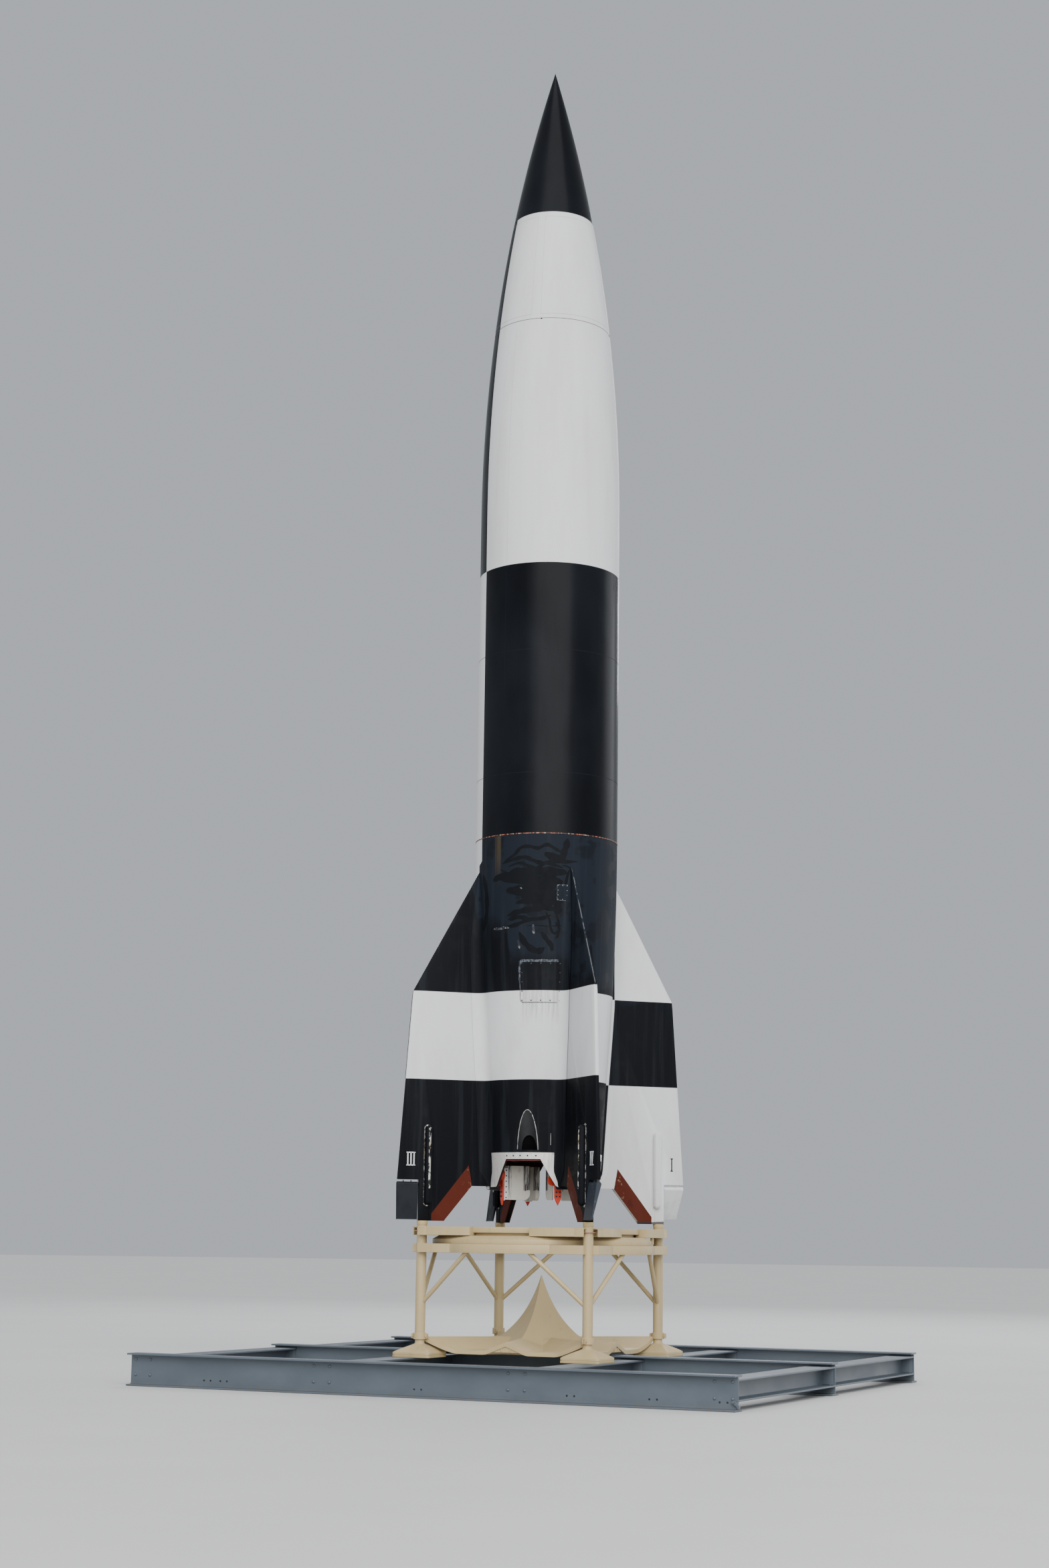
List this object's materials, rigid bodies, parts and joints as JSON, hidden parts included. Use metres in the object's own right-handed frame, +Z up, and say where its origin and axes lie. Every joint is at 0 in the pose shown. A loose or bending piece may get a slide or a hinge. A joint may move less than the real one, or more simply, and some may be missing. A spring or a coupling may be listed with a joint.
{
  "type": "single-stage rocket on launch table",
  "caption": "Tall black and white rocket with swept fins, standing on a launch table with a flame deflector on a steel beam grid.",
  "frame": {"origin": "on the ground on the rocket axis, at the underside of the beams", "axes": "+Z up along the rocket, +X along the long beams, fins on the diagonals"},
  "size_m": [6.9, 6.2, 15.81],
  "materials": {
    "rocket_paint": "gloss black and white paint in halves",
    "tail_paint": "weathered black and white paint",
    "bare_aluminium": "bare scratched aluminium",
    "signal_red": "red paint",
    "dark_steel": "dark steel",
    "table_paint": "cream paint",
    "beam_paint": "blue-grey paint"
  },
  "bodies": {
    "rocket_on_table": {"beam_front": "beam_paint", "beam_middle": "beam_paint", "beam_back": "beam_paint", "cross_beam_front_1": "beam_paint", "cross_beam_front_2": "beam_paint", "cross_beam_front_3": "beam_paint", "cross_beam_front_4": "beam_paint", "cross_beam_back_1": "beam_paint", "cross_beam_back_2": "beam_paint", "cross_beam_back_3": "beam_paint", "cross_beam_back_4": "beam_paint", "foot_pad_1": "table_paint", "foot_pad_2": "table_paint", "foot_pad_3": "table_paint", "foot_pad_4": "table_paint", "leg_1": "table_paint", "leg_2": "table_paint", "leg_3": "table_paint", "leg_4": "table_paint", "table_ring": "table_paint", "turntable": "table_paint", "top_frame": "table_paint", "support_post_1": "table_paint", "support_post_2": "table_paint", "support_post_3": "table_paint", "support_post_4": "table_paint", "deflector": "table_paint", "nose_cone": "rocket_paint", "control_section": "rocket_paint", "control_door_1": "rocket_paint", "control_door_2": "rocket_paint", "control_door_3": "rocket_paint", "control_door_4": "rocket_paint", "mid_shell_right": "rocket_paint", "mid_shell_left": "rocket_paint", "tail_body": "tail_paint", "window_frame_front": "bare_aluminium", "window_frame_back": "bare_aluminium", "hatch_cover": "tail_paint", "fin_1": "tail_paint", "fin_2": "tail_paint", "fin_3": "tail_paint", "fin_4": "tail_paint", "nozzle": "dark_steel", "engine_block": "dark_steel"},
    "rudder_1": {"air_rudder_1": "tail_paint"},
    "vane_1": {"jet_vane_1": "signal_red"},
    "rudder_2": {"air_rudder_2": "tail_paint"},
    "vane_2": {"jet_vane_2": "signal_red"},
    "rudder_3": {"air_rudder_3": "tail_paint"},
    "vane_3": {"jet_vane_3": "signal_red"},
    "rudder_4": {"air_rudder_4": "tail_paint"},
    "vane_4": {"jet_vane_4": "signal_red"}
  },
  "joints": [
    {"name": "air_rudder_1_turn", "type": "hinge", "parent": "rocket_on_table", "child": "rudder_1", "pos_m": [1.05359, 1.05359, 2.18], "axis": [0.7071, 0.7071, 0], "range_deg": [-59, 1]},
    {"name": "air_rudder_2_turn", "type": "hinge", "parent": "rocket_on_table", "child": "rudder_2", "pos_m": [-1.05359, 1.05359, 2.18], "axis": [-0.7071, 0.7071, 0], "range_deg": [-40, 20]},
    {"name": "air_rudder_3_turn", "type": "hinge", "parent": "rocket_on_table", "child": "rudder_3", "pos_m": [-1.05359, -1.05359, 2.18], "axis": [-0.7071, -0.7071, 0], "range_deg": [-30, 30]},
    {"name": "air_rudder_4_turn", "type": "hinge", "parent": "rocket_on_table", "child": "rudder_4", "pos_m": [1.05359, -1.05359, 2.18], "axis": [0.7071, -0.7071, 0], "range_deg": [-18, 42]},
    {"name": "jet_vane_1_turn", "type": "hinge", "parent": "rocket_on_table", "child": "vane_1", "pos_m": [0.42426, 0.42426, 2.3], "axis": [0.7071, 0.7071, 0], "range_deg": [-25, 25]},
    {"name": "jet_vane_2_turn", "type": "hinge", "parent": "rocket_on_table", "child": "vane_2", "pos_m": [-0.42426, 0.42426, 2.3], "axis": [-0.7071, 0.7071, 0], "range_deg": [-25, 25]},
    {"name": "jet_vane_3_turn", "type": "hinge", "parent": "rocket_on_table", "child": "vane_3", "pos_m": [-0.42426, -0.42426, 2.3], "axis": [-0.7071, -0.7071, 0], "range_deg": [-25, 25]},
    {"name": "jet_vane_4_turn", "type": "hinge", "parent": "rocket_on_table", "child": "vane_4", "pos_m": [0.42426, -0.42426, 2.3], "axis": [0.7071, -0.7071, 0], "range_deg": [-25, 25]}
  ]
}
